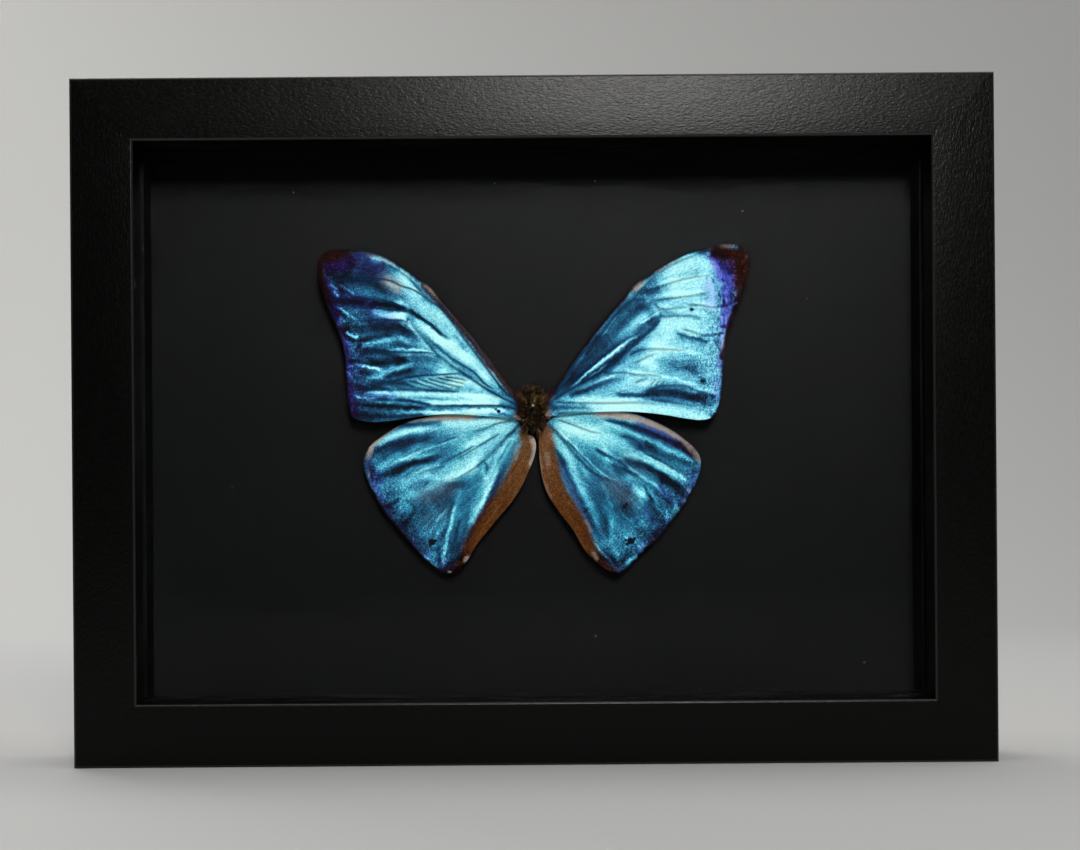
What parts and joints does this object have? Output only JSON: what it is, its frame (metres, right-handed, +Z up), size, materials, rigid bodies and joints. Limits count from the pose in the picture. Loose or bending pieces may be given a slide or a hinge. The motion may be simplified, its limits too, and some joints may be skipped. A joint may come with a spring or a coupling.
{
  "type": "framed butterfly specimen",
  "caption": "Spread blue butterfly pinned to a dark board behind glass in a deep black box frame that stands on its bottom rail or lies against a wall.",
  "frame": {"origin": "middle of the frame's footprint, on the underside of the bottom rail", "axes": "+Z up, +X to the right as seen from the front, the glass and the butterfly face -Y"},
  "size_m": [0.197, 0.033, 0.147],
  "materials": {
    "frame_foil": "satin black foil with a fine pressed wood grain, over wood fibre",
    "glass": "clear float glass, polished",
    "black_card": "matt black paper over foam board, a few dust specks",
    "fibreboard": "bare brown fibreboard",
    "zinc_steel": "zinc plated, dull",
    "brass_plate": "brassed steel, slightly dulled",
    "insect_hair": "dark brown and olive hairs",
    "wing_scales": "metallic blue scales that catch the light on every fold",
    "pin_steel": "bright steel pin"
  },
  "bodies": {
    "root": {"rail_top": "frame_foil", "rail_bottom": "frame_foil", "rail_left": "frame_foil", "rail_right": "frame_foil", "glass_pane": "glass", "spacer_top": "black_card", "spacer_bottom": "black_card", "spacer_left": "black_card", "spacer_right": "black_card", "mount_board": "black_card", "back_panel": "fibreboard", "tab_top_left": "zinc_steel", "tab_top_right": "zinc_steel", "tab_right": "zinc_steel", "tab_bottom_right": "zinc_steel", "tab_bottom_left": "zinc_steel", "tab_left": "zinc_steel", "hanger": "brass_plate", "rivet_left": "brass_plate", "rivet_right": "brass_plate", "head": "insect_hair", "thorax": "insect_hair", "forewing_left": "wing_scales", "forewing_right": "wing_scales", "hindwing_left": "wing_scales", "hindwing_right": "wing_scales", "specimen_pin": "pin_steel"}
  },
  "joints": []
}
